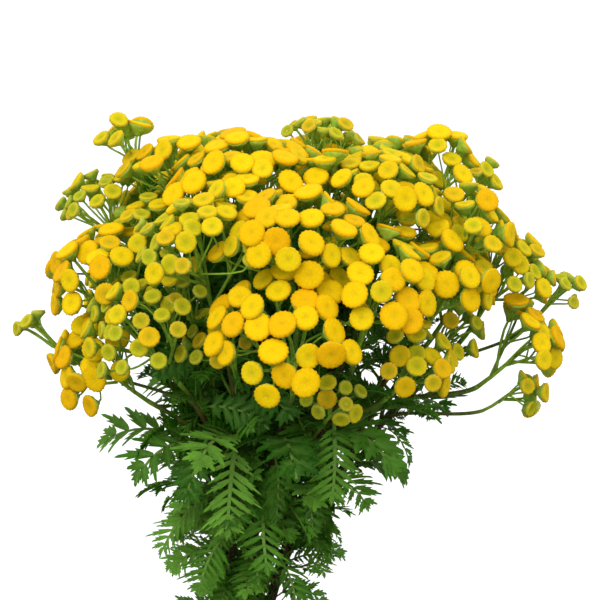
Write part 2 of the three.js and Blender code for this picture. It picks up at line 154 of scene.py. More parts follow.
# Sprays that fill the gaps between the others, on branches of their own. They have no CAD node.
FILLING = {
    "upper_right": [
        ("fill_high_right", (12, -22, 319), 15, 14, 0.9, 0.8),
        ("fill_high_middle", (30, 4, 319), 14, 12, 0.7, 0.84),
    ],
    "top": [("fill_high_front", (-24, -38, 315), 15, 14, 0.9, 0.8)],
    "left_mid": [("fill_left", (-66, -16, 299), 16, 16, 0.5, 0.7)],
    "left_inner": [("fill_left_low", (-50, -44, 282), 14, 7, 0.35, 0.72)],
    "right_upper": [("fill_right", (52, -14, 301), 15, 14, 0.8, 0.8)],
    "right_outer": [
        ("fill_right_low", (72, -14, 277), 14, 11, 0.65, 0.7),
        ("fill_right_buds", (70, -12, 254), 13, 7, 0.4, 0.6),
    ],
    "back_left": [("fill_back_left", (-74, 34, 288), 15, 13, 0.7, 0.74)],
    "back": [
        ("fill_back", (-38, 34, 319), 15, 14, 0.85, 0.8),
        ("fill_back_low", (-52, 66, 282), 14, 12, 0.6, 0.7),
    ],
    "back_right": [
        ("fill_back_right", (14, 72, 282), 15, 13, 0.8, 0.7),
        ("fill_far_right", (72, 40, 284), 15, 13, 0.7, 0.7),
    ],
    "top_back": [("fill_high_back", (14, 40, 318), 18, 19, 0.8, 0.8)],
}


def seeded(seed):
    """Random numbers from 0 to 1, the same as the CAD part's."""
    state = seed

    def draw():
        nonlocal state
        state = (state * 1664525 + 1013904223) % 4294967296
        return state / 4294967296

    return draw


def lerp(a, b, t):
    return a + (b - a) * t


def between(random, low, high):
    return lerp(low, high, random())


def clamp01(x):
    return min(1.0, max(0.0, x))


# Meshes


class Pieces:
    """Gathers the vertices, faces and vertex values of one mesh, in millimetres."""

    def __init__(self, *values, smooth=True):
        self.smooth = smooth
        self.points = []
        self.faces = []
        self.values = {name: [] for name in values}
        self.count = 0

    def add(self, points, faces, **values):
        """faces is a list of arrays, each with rows of one length."""
        points = np.asarray(points, dtype=np.float64)
        self.points.append(points)
        for block in faces:
            self.faces.append(np.asarray(block, dtype=np.int32) + self.count)
        for name, store in self.values.items():
            value = np.asarray(values[name], dtype=np.float32)
            store.append(np.broadcast_to(value, (len(points),)))
        self.count += len(points)

    def mesh(self, name):
        points = (np.concatenate(self.points) * MM).astype(np.float32)
        corners = np.concatenate([block.ravel() for block in self.faces])
        sizes = np.concatenate([np.full(len(block), block.shape[1], dtype=np.int32) for block in self.faces])
        starts = np.concatenate([[0], np.cumsum(sizes)[:-1]]).astype(np.int32)
        mesh = bpy.data.meshes.new(name)
        mesh.vertices.add(len(points))
        mesh.vertices.foreach_set("co", points.ravel())
        mesh.loops.add(len(corners))
        mesh.loops.foreach_set("vertex_index", corners)
        mesh.polygons.add(len(sizes))
        mesh.polygons.foreach_set("loop_start", starts)
        mesh.polygons.foreach_set("loop_total", sizes)
        mesh.polygons.foreach_set("use_smooth", np.full(len(sizes), self.smooth))
        mesh.update(calc_edges=True)
        for value, store in self.values.items():
            attribute = mesh.attributes.new(value, "FLOAT", "POINT")
            attribute.data.foreach_set("value", np.concatenate(store))
        mesh.validate()
        return mesh


def place(name, pieces, material, slot, *nodes):
    """Makes the gathered mesh a piece of the plant, in the place of the CAD nodes."""
    mesh = pieces.mesh(name)
    mesh.materials.append(material)
    piece = bpy.data.objects.new(name, mesh)
    bpy.context.scene.collection.objects.link(piece)
    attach(piece, "root")
    if nodes:
        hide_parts(*nodes)


def circle(sides):
    return np.arange(sides) * 2 * math.pi / sides


def level_ring(radius, height, turns):
    """The points of a level ring. It has one radius, or one for each turn."""
    return np.stack([radius * np.cos(turns), radius * np.sin(turns), np.full(len(turns), height)], axis=1)


def grid_faces(rings, sides):
    """The faces of a tube of rings that each hold the same number of points."""
    i = np.arange((rings - 1) * sides)
    beside = i - i % sides + (i + 1) % sides
    return np.stack([i, beside, beside + sides, i + sides], axis=1)


def fan_faces(centre, ring_start, sides, upward):
    """Triangles from a ring to a point in its middle."""
    i = np.arange(sides)
    beside = (i + 1) % sides
    first, second = (i, beside) if upward else (beside, i)
    return np.stack([np.full(sides, centre), ring_start + first, ring_start + second], axis=1)


def closed_faces(rings, sides, outward=True):
    """The faces of a body of rings, which fans close at two points that come after the rings."""
    count = rings * sides
    wall = grid_faces(rings, sides)
    caps = [fan_faces(count, 0, sides, not outward), fan_faces(count + 1, count - sides, sides, outward)]
    return [wall if outward else wall[:, ::-1], np.concatenate(caps)]


def frames(path):
    """Two directions across a path at each of its points, which turn as little as they can."""
    ahead = [(path[min(i + 1, len(path) - 1)] - path[max(i - 1, 0)]).normalized() for i in range(len(path))]
    across = ahead[0].orthogonal().normalized()
    turned = []
    for direction in ahead:
        across = (across - direction * across.dot(direction)).normalized()
        turned.append((across, direction.cross(across)))
    return turned


def tube(pieces, path, radii, sides, ridge=0, **values):
    """A closed round bar along a path, with a ridge on every second side."""
    turns = circle(sides)
    ridges = 1 + ridge * np.cos(turns * sides / 2)
    rings = []
    for point, (u, v), radius in zip(path, frames(path), radii):
        ring = np.outer(np.cos(turns) * ridges * radius, u) + np.outer(np.sin(turns) * ridges * radius, v)
        rings.append(ring + np.array(point))
    points = np.concatenate([*rings, [path[0]], [path[-1]]])
    spread = {}
    for name, value in values.items():
        value = np.broadcast_to(np.asarray(value, dtype=np.float64), (len(path),))
        spread[name] = np.concatenate([np.repeat(value, sides), value[:1], value[-1:]])
    pieces.add(points, closed_faces(len(path), sides), **spread)


def bezier(a, b, c, d, t):
    s = 1 - t
    return a * (s * s * s) + b * (3 * s * s * t) + c * (3 * s * t * t) + d * (t * t * t)


def points_along(curve, steps):
    return [bezier(*curve, i / steps) for i in range(steps + 1)]


def taper(first, last, steps):
    return [lerp(first, last, i / steps) for i in range(steps + 1)]


# The plant's layout: what the CAD part has too, laid out in the same way, and then what only this scene has


def is_solid(order):
    """Whether the CAD part has the head with this number."""
    return order % HEAD["solid_of_each"][1] < HEAD["solid_of_each"][0]


class Head:
    def __init__(self, seat, axis, radius, ripe, arm, solid):
        self.seat, self.axis, self.radius = seat, axis, radius
        self.ripe, self.arm, self.solid = ripe, arm, solid
        # A round head covers as much as the six-sided solid one.
        self.reach = radius * HEAD["round"]
        self.neck = seat - axis * (HEAD["funnel"] * self.reach)


placed_heads = []


class Spray:
    """A dome of heads round a middle, and the fork under it where its stalks start."""

    def __init__(self, row, seed, spacing=HEAD["spacing"]):
        self.name, at, self.spread, self.count, self.ripe, self.start = row
        self.seed, self.random = seed, seeded(seed)
        self.middle = Vector(at)
        away = self.middle - CANOPY["heart"]
        away = Vector([away[k] / CANOPY["half"][k] for k in range(3)]).normalized()
        self.facing = (away + UP * CANOPY["lift"]).normalized()
        self.right = UP.cross(self.facing).normalized()
        self.top = self.facing.cross(self.right)
        depth = self.spread * SPRAY["spread_depth"] + SPRAY["depth"]
        self.fork = self.middle - self.facing * depth - UP * (SPRAY["drop"] * depth)
        self.phase = self.random() * 2 * math.pi
        self.arm_count = SPRAY["few_arms"] if self.count < SPRAY["most_from"] else SPRAY["most_arms"]
        self.heads = []
        self.grow(0, self.count, spacing)

    def grow(self, first, end, spacing, inward=False):
        """Adds the heads with these numbers wherever they find room. With inward, those that stand on the
        clump's outer side are left out."""
        from_axis = Vector((self.middle.x, self.middle.y, 0))
        for i in range(first, end):
            share = math.sqrt((i + 0.5) / self.count)
            turn = self.phase + i * GOLDEN_TURN
            draws = [self.random() for _ in range(6)]
            outward = self.right * math.cos(turn) + self.top * math.sin(turn)
            reach = self.spread * share * (1 + SPRAY["ragged"] * (draws[0] - 0.5))
            rise = SPRAY["uneven"] * (draws[1] - 0.5) - SPRAY["sag"] * self.spread * share * share
            seat = self.middle + outward * reach + self.facing * rise
            tilt = Vector([draw - 0.5 for draw in draws[2:5]])
            tilt *= SPRAY["tilt"] if is_solid(i) else FILL["tilt"]
            axis = (self.facing + outward * (SPRAY["lean"] * share) + tilt).normalized()
            ripe = self.ripe + SPRAY["ripeness"] * (draws[5] - 0.5) - SPRAY["edge_younger"] * share
            ripe = clamp01(ripe)
            radius = lerp(HEAD["bud"], HEAD["ripe"], ripe)
            arm = int(((turn / (2 * math.pi)) % 1) * self.arm_count)
            if inward and from_axis.length > FILL["off_axis"]:
                if outward.dot(from_axis.normalized()) > FILL["outward"]:
                    continue
            if all((h.seat - seat).length > spacing * (h.radius + radius) for h in placed_heads):
                head = Head(seat, axis, radius, ripe, arm, is_solid(i))
                placed_heads.append(head)
                self.heads.append(head)


def rising_curve(foot, spray, kind):
    """The control points of a stem or branch, from its foot to the fork of its spray."""
    reach = (spray.fork - foot).length
    ahead = (spray.facing + UP * SPRAY["drop"]).normalized()
    return (
        foot,
        foot + UP * (kind["upright"] * reach),
        spray.fork - ahead * (kind["arrive"] * reach),
        spray.fork,
    )


plants = []
for index, (name, ring, turn, rows) in enumerate(STEMS):
    turn = math.radians(turn)
    foot = Vector(
        (
            CROWN["x"] + ring * math.cos(turn),
            CROWN["y"] + ring * math.sin(turn),
            SOIL["level"] + SOIL["mound"] - CROWN["root_depth"],
        )
    )
    sprays = [Spray(row, SEEDS["stem"] * (index + 1) + SEEDS["spray"] * k) for k, row in enumerate(rows)]
    main = rising_curve(foot, sprays[0], STEM)
    sprays[0].curve = main
    for spray in sprays[1:]:
        spray.curve = rising_curve(bezier(*main, spray.start), spray, BRANCH)
    plants.append(dict(name=name, ring=ring, turn=turn, main=main, sprays=sprays, index=index))

for plant in plants:
    for k, row in enumerate(FILLING.get(plant["name"], [])):
        seed = SEEDS["fill"] + SEEDS["stem"] * plant["index"] + SEEDS["spray"] * k
        spray = Spray(row, seed, FILL["spacing"])
        spray.curve = rising_curve(bezier(*plant["main"], spray.start), spray, BRANCH)
        plant["sprays"].append(spray)
for plant in plants:
    for spray in plant["sprays"]:
        more = round(spray.count * (1 + FILL["more_heads"]))
        spray.grow(spray.count, more, FILL["spacing"], inward=True)


# Materials


class Nodes:
    """A material's node tree, with short calls for the nodes that the surfaces share."""

    def __init__(self, name, roughness, specular):
        self.material = bpy.data.materials.new(name)
        self.material.use_nodes = True
        self.tree = self.material.node_tree
        self.shader = self.tree.nodes["Principled BSDF"]
        self.set(self.shader, {"Roughness": roughness, "Specular IOR Level": specular})

    def set(self, node, values):
        """Sets a node's inputs. A value is an output, a number or a colour with its alpha."""
        for name, value in values.items():
            if isinstance(value, bpy.types.NodeSocket):
                self.tree.links.new(value, node.inputs[name])
            else:
                node.inputs[name].default_value = value
        return node

    def node(self, kind, values, **settings):
        node = self.tree.nodes.new("ShaderNode" + kind)
        for name, value in settings.items():
            setattr(node, name, value)
        return self.set(node, values)

    def attribute(self, name):
        return self.node("Attribute", {}, attribute_name=name).outputs["Fac"]

    def noise(self, scale, detail=3, roughness=0.5, stretch=None):
        """Noise whose scale counts its swells in a metre."""
        vector = self.node("TexCoord", {}).outputs["Object"]
        if stretch:
            vector = self.node("Mapping", {"Vector": vector, "Scale": stretch}).outputs["Vector"]
        values = {"Scale": scale, "Detail": detail, "Roughness": roughness, "Vector": vector}
        return self.node("TexNoise", values).outputs["Fac"]

    def ramp(self, source, *stops):
        """stops are (place, colour or grey)."""
        node = self.node("ValToRGB", {"Fac": source})
        elements = node.color_ramp.elements
        while len(elements) < len(stops):
            elements.new(0.5)
        for element, (position, colour) in zip(elements, stops):
            element.position = position
            element.color = (colour, colour, colour, 1) if isinstance(colour, (int, float)) else (*colour, 1)
        return node.outputs["Color"]

    def mix(self, factor, a, b, blend="MIX"):
        """a and b are outputs or colours, factor an output or a number."""
        a, b = ((*value, 1) if isinstance(value, tuple) else value for value in (a, b))
        # A Mix node's sockets share their names, so they go by number.
        return self.node("Mix", {0: factor, 6: a, 7: b}, data_type="RGBA", blend_type=blend).outputs[2]

    def multiply(self, a, b):
        return self.mix(1.0, a, b, "MULTIPLY")

    def math(self, operation, a, b):
        return self.node("Math", {0: a, 1: b}, operation=operation).outputs[0]

    def let_light_through(self, weight, radius):
        values = {"Subsurface Weight": weight, "Subsurface Radius": radius, "Subsurface Scale": 0.002}
        self.set(self.shader, values)

    def finish(self, colour, height=None, strength=0, distance=0):
        """Gives the surface its colour and its bumps."""
        values = {"Base Color": colour}
        if height is not None:
            bump = self.node("Bump", {"Strength": strength, "Distance": distance, "Height": height})
            values["Normal"] = bump.outputs["Normal"]
        self.set(self.shader, values)
        return self.material


def floret_material():
    """The button's florets: olive when young, then lemon, yellow and deep gold."""
    nodes = Nodes("tansy_florets", roughness=0.75, specular=0.06)
    nodes.let_light_through(0.12, (0.6, 0.4, 0.05))
    ripe = nodes.attribute("ripe")
    radial = nodes.attribute("radial")
    chance = nodes.attribute("chance")
    body = nodes.ramp(
        ripe, (0.0, (0.44, 0.46, 0.016)), (0.3, (0.66, 0.57, 0.01)), (0.55, (0.8, 0.6, 0.006)),
        (0.8, (0.9, 0.63, 0.003)), (1.0, (0.92, 0.58, 0.002)),
    )
    orange = nodes.ramp(chance, (0.6, 0.0), (1.0, 0.75))
    body = nodes.mix(orange, body, (0.84, 0.4, 0.002))
    # The middle is a little greener, most of all in a young head. The rim is paler on a young head, its own
    # pale ring, and darker and warmer on a ripe one, which is painted shade at the head's rounded edge.
    middle = nodes.ramp(radial, (0.0, 1.0), (0.14, 0.55), (0.42, 0.0))
    disc = nodes.ramp(radial, (0.0, 0.75), (0.5, 0.6), (0.78, 0.0))
    greener = nodes.ramp(ripe, (0.0, 0.9), (0.35, 0.75), (0.7, 0.0))
    body = nodes.mix(nodes.math("MULTIPLY", disc, greener), body, (0.3, 0.37, 0.012))
    young = nodes.ramp(ripe, (0.0, 0.95), (0.6, 0.5), (1.0, 0.28))
    body = nodes.mix(nodes.math("MULTIPLY", middle, young), body, (0.3, 0.3, 0.012))
    # Painted shade: a ripe head's rim is darkened towards orange where its edge rounds away from the light.
    rim = nodes.ramp(radial, (0.7, 0.0), (1.0, 0.55))
    edge = nodes.ramp(
        ripe, (0.1, (0.5, 0.5, 0.06)), (0.5, (0.7, 0.5, 0.012)), (0.9, (0.74, 0.4, 0.002)),
    )
    body = nodes.mix(rim, body, edge)
    grain = nodes.ramp(nodes.noise(1500, 2), (0.3, 0.8), (0.7, 1.1))
    body = nodes.mix(0.5, body, nodes.multiply(body, grain))
    return nodes.finish(body, nodes.noise(2200, 2), 0.35, 0.0003)


def green_material():
    """Stalks and the bracts under a head: a soft light green, paler at the bracts' edge."""
    nodes = Nodes("tansy_stalks", roughness=0.6, specular=0.15)
    pale = nodes.attribute("pale")
    chance = nodes.attribute("chance")
    base = nodes.ramp(chance, (0.0, (0.19, 0.37, 0.018)), (1.0, (0.4, 0.64, 0.06)))
    base = nodes.mix(pale, base, (0.46, 0.5, 0.06))
    mottle = nodes.ramp(nodes.noise(500, 3), (0.3, 0.72), (0.7, 1.15))
    return nodes.finish(nodes.multiply(base, mottle), nodes.noise(1200, 2), 0.25, 0.0003)


def leaf_material():
    nodes = Nodes("tansy_leaves", roughness=0.6, specular=0.08)
    nodes.let_light_through(0.15, (0.25, 0.6, 0.05))
    base = nodes.ramp(
        nodes.attribute("chance"), (0.0, (0.016, 0.09, 0.003)), (0.5, (0.052, 0.185, 0.009)),
        (1.0, (0.145, 0.36, 0.035)),
    )
    patches = nodes.ramp(nodes.noise(90, 3), (0.3, 0.72), (0.72, 1.25))
    base = nodes.mix(nodes.attribute("vein"), nodes.multiply(base, patches), (0.16, 0.3, 0.05))
    fine = nodes.ramp(nodes.noise(1600, 3), (0.3, 0.86), (0.7, 1.12))
    return nodes.finish(nodes.multiply(base, fine), nodes.noise(900, 4, 0.6), 0.45, 0.0004)


def stem_material():
    """Stems that go from green to brown with age."""
    nodes = Nodes("tansy_stems", roughness=0.55, specular=0.2)
    streaks = nodes.noise(420, 4, stretch=(1, 1, 0.08))
    change = nodes.math("MULTIPLY", nodes.math("SUBTRACT", streaks, 0.5), 0.5)
    base = nodes.ramp(
        nodes.math("ADD", nodes.attribute("age"), change),
        (0.0, (0.2, 0.37, 0.022)), (0.14, (0.1, 0.2, 0.014)), (0.38, (0.078, 0.095, 0.011)),
        (0.62, (0.08, 0.05, 0.011)), (1.0, (0.038, 0.021, 0.009)),
    )
    fine = nodes.ramp(nodes.noise(700, 3), (0.3, 0.75), (0.7, 1.2))
    return nodes.finish(nodes.multiply(base, fine), streaks, 0.4, 0.0005)


def clay_material():
    nodes = Nodes("fired_clay", roughness=0.85, specular=0.25)
    base = nodes.ramp(nodes.noise(16, 4), (0.3, (0.47, 0.175, 0.085)), (0.7, (0.6, 0.25, 0.125)))
    bloom = nodes.ramp(nodes.noise(38, 5, 0.65), (0.52, 0.0), (0.78, 0.5))
    base = nodes.mix(bloom, base, (0.7, 0.47, 0.34))
    specks = nodes.ramp(nodes.noise(900, 2), (0.28, 0.55), (0.4, 1.0))
    return nodes.finish(nodes.multiply(base, specks), nodes.noise(420, 5, 0.6), 0.35, 0.0006)


def soil_material():
    nodes = Nodes("potting_soil", roughness=0.95, specular=0.15)
    base = nodes.ramp(
        nodes.attribute("chance"), (0.0, (0.016, 0.010, 0.006)), (0.7, (0.045, 0.027, 0.015)),
        (0.93, (0.11, 0.066, 0.035)), (1.0, (0.34, 0.31, 0.26)),
    )
    grains = nodes.ramp(nodes.noise(700, 4, 0.6), (0.3, 0.55), (0.7, 1.45))
    return nodes.finish(nodes.multiply(base, grains), nodes.noise(600, 5, 0.7), 0.8, 0.0012)


FLORETS = floret_material()
GREENS = green_material()
LEAFY = leaf_material()
STEMMY = stem_material()
CLAY = clay_material()
EARTH = soil_material()


# Flower heads. A vertex has a place u along the head's profile and a turn about its axis. A young and a ripe
# profile give its radius and height, as shares of the head's radius, and a head lies between them.

BUTTON = dict(
    u=[0, 0.12, 0.27, 0.55, 0.8, 1, 1.4, 2],
    ripe_r=[0, 0.12, 0.27, 0.54, 0.8, 0.945, 1.0, 0.91],
    ripe_z=[-0.08, -0.05, -0.01, 0.01, -0.004, -0.05, -0.16, -0.32],
    young_r=[0, 0.11, 0.25, 0.5, 0.72, 0.86, 0.95, 0.86],
    young_z=[-0.2, -0.18, -0.15, -0.09, 0.0, -0.01, -0.14, -0.34],
)
SIDE_LEVELS = BUTTON["u"][-2:]
# How far out the florets go, how high one stands, how low the gaps between them lie in floret heights, how
# far the rim's teeth come out, and how much the rim waves
SURFACE = dict(reach=0.9, floret=0.022, gap=-0.6, teeth=0.0325, wave=0.03)
BRACTS = dict(
    ripe_r=[0.89, 0.96, 0.9, 0.64, 0.36, 0.13],
    ripe_z=[-0.27, -0.305, -0.45, -0.68, -0.93, -1.25],
    young_r=[0.88, 0.965, 0.95, 0.72, 0.42, 0.15],
    young_z=[-0.17, -0.2, -0.4, -0.66, -0.92, -1.25],
    scales=[0, 0.035, 0.035, 0.035, 0, 0],
    pale=[1.0, 1.0, 0.5, 0.2, 0.05, 0.0],
)
BRACT_SIDES = 12
CUP_DEPTH = 0.03
# How heads differ beside their ripeness
HEAD_DRAWS = dict(width=(0.95, 1.05), height=(0.85, 1.25), dome=(-0.02, 0.06), ripe=0.1)


def button_template(floret_count, rim_sides):
    """The u, turn and relief of a button's vertices, and its faces. Florets stand up between lower gaps."""
    k = np.arange(floret_count)
    r = SURFACE["reach"] * np.sqrt((k + 0.5) / floret_count)
    florets = [Vector((a * math.cos(b), a * math.sin(b))) for a, b in zip(r, k * GOLDEN_TURN)]
    _, _, cells, *_ = delaunay_2d_cdt(florets, [], [], 0, 1e-6)
    gaps = [sum((florets[c] for c in cell), Vector((0, 0))) / len(cell) for cell in cells]
    ring = circle(rim_sides)
    flat = [*florets, *gaps, *(Vector((math.cos(a), math.sin(a))) for a in ring)]
    points, _, triangles, *_ = delaunay_2d_cdt(flat, [], [], 0, 1e-6)
    if len(points) != len(flat):
        raise ValueError("the florets' points were merged")
    rim_start = len(flat) - rim_sides
    low_ring = rim_start + 2 * rim_sides
    # The rings of the side come after the flat points, and the middle of the base comes last.
    u = [*(min(p.length, 1.0) for p in points), *np.repeat(SIDE_LEVELS, rim_sides), SIDE_LEVELS[-1]]
    turn = [*(math.atan2(p.y, p.x) for p in points), *np.tile(ring, 2), 0.0]
    relief = np.zeros(len(u))
    relief[: len(florets)] = 1.0
    relief[len(florets) : rim_start] = SURFACE["gap"]
    relief[rim_start:low_ring] = np.tile([1.0, -1.0], rim_sides)
    top = np.array([t if up_facing(t, points) else t[::-1] for t in triangles])
    side = grid_faces(3, rim_sides)[:, ::-1] + rim_start
    base = fan_faces(len(u) - 1, low_ring, rim_sides, False)
    return np.array(u), np.array(turn), relief, [top, side, base]


def up_facing(triangle, points):
    a, b, c = (points[i] for i in triangle)
    return (b - a).cross(c - a) > 0


LARGE_BUTTON = button_template(46, 36)
SMALL_BUTTON = button_template(24, 24)
SMALL_UNDER = 4.4


def head_basis(head, spin):
    right = head.axis.orthogonal().normalized()
    top = head.axis.cross(right)
    u = right * math.cos(spin) + top * math.sin(spin)
    return np.array([u, head.axis.cross(u), head.axis])


def at_ripeness(profile, part, ripe):
    return lerp(np.array(profile["young_" + part]), np.array(profile["ripe_" + part]), ripe)


def add_head(florets, greens, head, random):
    """One flower head: its button of florets, and the cup of bracts under it."""
    ripe = head.ripe
    basis = head_basis(head, random() * 2 * math.pi)
    stretch = np.array([between(random, *HEAD_DRAWS[way]) for way in ("width", "width", "height")])
    dome = between(random, *HEAD_DRAWS["dome"])
    wave = random() * 2 * math.pi
    chance = random()

    u, turn, relief, button_faces = SMALL_BUTTON if head.radius < SMALL_UNDER else LARGE_BUTTON
    r = np.interp(u, BUTTON["u"], at_ripeness(BUTTON, "r", ripe))
    z = np.interp(u, BUTTON["u"], at_ripeness(BUTTON, "z", ripe))
    radial = np.minimum(u, 1)
    # The rim's u is 1, or a rounding error less.
    inside = u < 0.999
    z = z + np.where(inside, relief * SURFACE["floret"] + dome * (1 - u**2) - abs(dome), 0)
    z = z + SURFACE["wave"] * np.sin(turn * 2 + wave) * radial**2
    r = r * (1 + np.where(inside, 0, relief * SURFACE["teeth"]))
    r[-1] = 0
    local = np.stack([r * np.cos(turn), r * np.sin(turn), z], axis=1) * stretch * head.reach
    florets.add(
        local @ basis + np.array(head.seat),
        button_faces,
        ripe=clamp01(ripe + HEAD_DRAWS["ripe"] * (random() - 0.5)),
        radial=radial,
        chance=chance,
    )

    turns = circle(BRACT_SIDES)
    radii, heights = at_ripeness(BRACTS, "r", ripe), at_ripeness(BRACTS, "z", ripe)
    rings = []
    for level, scale in enumerate(BRACTS["scales"]):
        reach = radii[level] * (1 + scale * np.cos(turns * BRACT_SIDES / 2 + math.pi * level))
        rings.append(level_ring(reach, heights[level], turns))
    ends = [[0, 0, rings[0][0][2] - CUP_DEPTH], [0, 0, BRACTS["ripe_z"][-1]]]
    pale = np.repeat(BRACTS["pale"], BRACT_SIDES) * lerp(1.0, 0.5, ripe)
    greens.add(
        (np.concatenate([*rings, ends]) * head.reach) @ basis + np.array(head.seat),
        closed_faces(len(rings), BRACT_SIDES, outward=False),
        pale=np.append(pale, [pale[0], 0]),
        chance=0.3 + 0.7 * chance,
    )


def add_stalk(greens, start, setting_out, end, arriving, radii, tone, sides=4):
    """A thin curved stalk between two points, which leaves and arrives along the given ways."""
    steps = 5
    bow = 0.3 * (end - start).length
    path = points_along((start, start + setting_out * bow, end - arriving * bow, end), steps)
    tube(greens, path, taper(*radii, steps), sides, pale=0.06, chance=tone)


# Stems and trunks are thinner than in the CAD part, most of all those of a spray with few heads.
SLIM = dict(most=0.85, few=0.62, under=12)


def slimness(spray):
    return SLIM["few"] if len(spray.heads) < SLIM["under"] else SLIM["most"]


def trunk_radii(spray):
    first, last = STALK["trunk"]
    return slimness(spray) * first, last


def add_spray(spray):
    """All the heads of a spray on the tree of stalks that its CAD node has."""
    random = seeded(spray.seed + SEEDS["heads"])
    florets = Pieces("ripe", "radial", "chance")
    greens = Pieces("pale", "chance")
    arrival = (spray.curve[3] - spray.curve[2]).normalized()
    middle = next(head for head in spray.heads if head.solid)
    tone = 0.2 + 0.5 * random()
    # The trunk starts just inside the end of its stem.
    foot = spray.fork - arrival * GAP
    add_stalk(greens, foot, arrival, middle.neck, middle.axis, trunk_radii(spray), tone, sides=6)
    start = spray.fork + arrival * (2 * GAP)
    for j in range(spray.arm_count):
        root = start.lerp(middle.neck, lerp(*FORKS["arms"], (j + 0.5) / spray.arm_count))
        own = [head for head in spray.heads if head.arm == j and head is not middle]
        leads = [head for head in own if head.solid]
        if not leads:
            for head in own:
                way = (head.neck - root).normalized()
                add_stalk(greens, root, way, head.neck, head.axis, STALK["bare_arm"], tone)
            continue
        lead = leads[-1]
        way = (lead.neck - root).normalized()
        add_stalk(greens, root, way, lead.neck, lead.axis, STALK["arm"], tone, sides=5)
        for n, head in enumerate(head for head in reversed(own) if head is not lead):
            fork = root.lerp(lead.neck, lerp(*FORKS["twigs"], (n + random()) / len(own)))
            setting_out = (way + (head.neck - fork).normalized()).normalized()
            add_stalk(greens, fork, setting_out, head.neck, head.axis, STALK["twig"], tone)
    for head in spray.heads:
        add_head(florets, greens, head, random)
    nodes = [] if spray.name.startswith("fill") else ["spray_" + spray.name]
    place("heads_" + spray.name, florets, FLORETS, "flower", *nodes)
    place("stalks_" + spray.name, greens, GREENS, "leafy", *nodes)


for plant in plants:
    for spray in plant["sprays"]:
        add_spray(spray)


# Leaves. A leaf is made flat and a millimetre long, and each copy is scaled, bent and turned into its place.

# Down a leaflet's half: the place of a point on its rib, how wide the blade is there, and how far ahead of
# that place its edge lies, which makes forward teeth
LARGE_EDGE = [
    (0, 0.4, 0), (0.14, 0.66, 0), (0.33, 1, 0.17), (0.37, 0.56, 0), (0.56, 0.76, 0.17), (0.6, 0.36, 0),
    (0.8, 0.24, 0.09),
]
SMALL_EDGE = [(0, 0.5, 0), (0.42, 1, 0.2), (0.5, 0.5, 0)]
# The two forms of leaf: the edge of their leaflets, and the steps and sides of their rib
LARGE = (LARGE_EDGE, 9, 5)
SMALL = (SMALL_EDGE, 5, 4)
BLADE_THICKNESS = 0.008
# How leaflets stand on the rib and differ from each other, and how the one at the leaf's tip does
LEAFLETS = dict(
    stagger=0.3, ahead=0.3, root=0.006, reach=(0.8, 1.15), slant=(0.75, 1.35), cup=(0.004, 0.018),
    droop=(-0.1, 0.25), half=(0.85, 1.15),
)
END_LEAFLET = dict(back=0.5, half=1.2, cup=0.01, droop=0.1)
# The rib is flattened, and wider past its stalk, where the leaflets join it.
RIB = dict(end=0.97, radii=(0.016, 0.006), stalk=0.8, wings=1.9, flat=0.7)
VEIN = dict(leaflet=0.55, rib=0.8)


def leaflet(edge, root, tip, half, cup, droop):
    """One toothed leaflet between two flat points, thin at its edge: its vertices, faces and vein values."""
    root, tip = np.array(root), np.array(tip)
    ahead = tip - root
    length = np.linalg.norm(ahead)
    ahead = ahead / length
    across = np.array([-ahead[1], ahead[0]])
    points, veins = [], []
    for t, width, ahead_of in edge:
        base = root + ahead * length * t
        for side in (-1, 0, 1):
            flat = base + ahead * (abs(side) * ahead_of * length) + across * side * width * half
            points.append([*flat, cup * abs(side) * width - droop * length * t * t])
            veins.append(VEIN["leaflet"] * (1 - t) if side == 0 else 0.0)
    points.append([*tip, -droop * length])
    veins.append(0.0)
    stations = len(edge)
    top_tip = len(points) - 1
    for i in range(stations):
        points.append([*points[3 * i + 1][:2], points[3 * i + 1][2] - BLADE_THICKNESS])
        veins.append(0.0)
    below = top_tip + 1
    quads = []
    for i in range(stations - 1):
        a = 3 * i
        quads += [[a + 1, a + 4, a + 3, a], [a + 2, a + 5, a + 4, a + 1]]
        quads += [[a, a + 3, below + i + 1, below + i], [below + i, below + i + 1, a + 5, a + 2]]
    last = 3 * (stations - 1)
    low_last = below + stations - 1
    triangles = [
        [top_tip, last + 1, last],
        [top_tip, last + 2, last + 1],
        [last, top_tip, low_last],
        [low_last, top_tip, last + 2],
        [0, 1, below],
        [1, 2, below],
    ]
    return np.array(points), [np.array(quads), np.array(triangles)], np.array(veins)


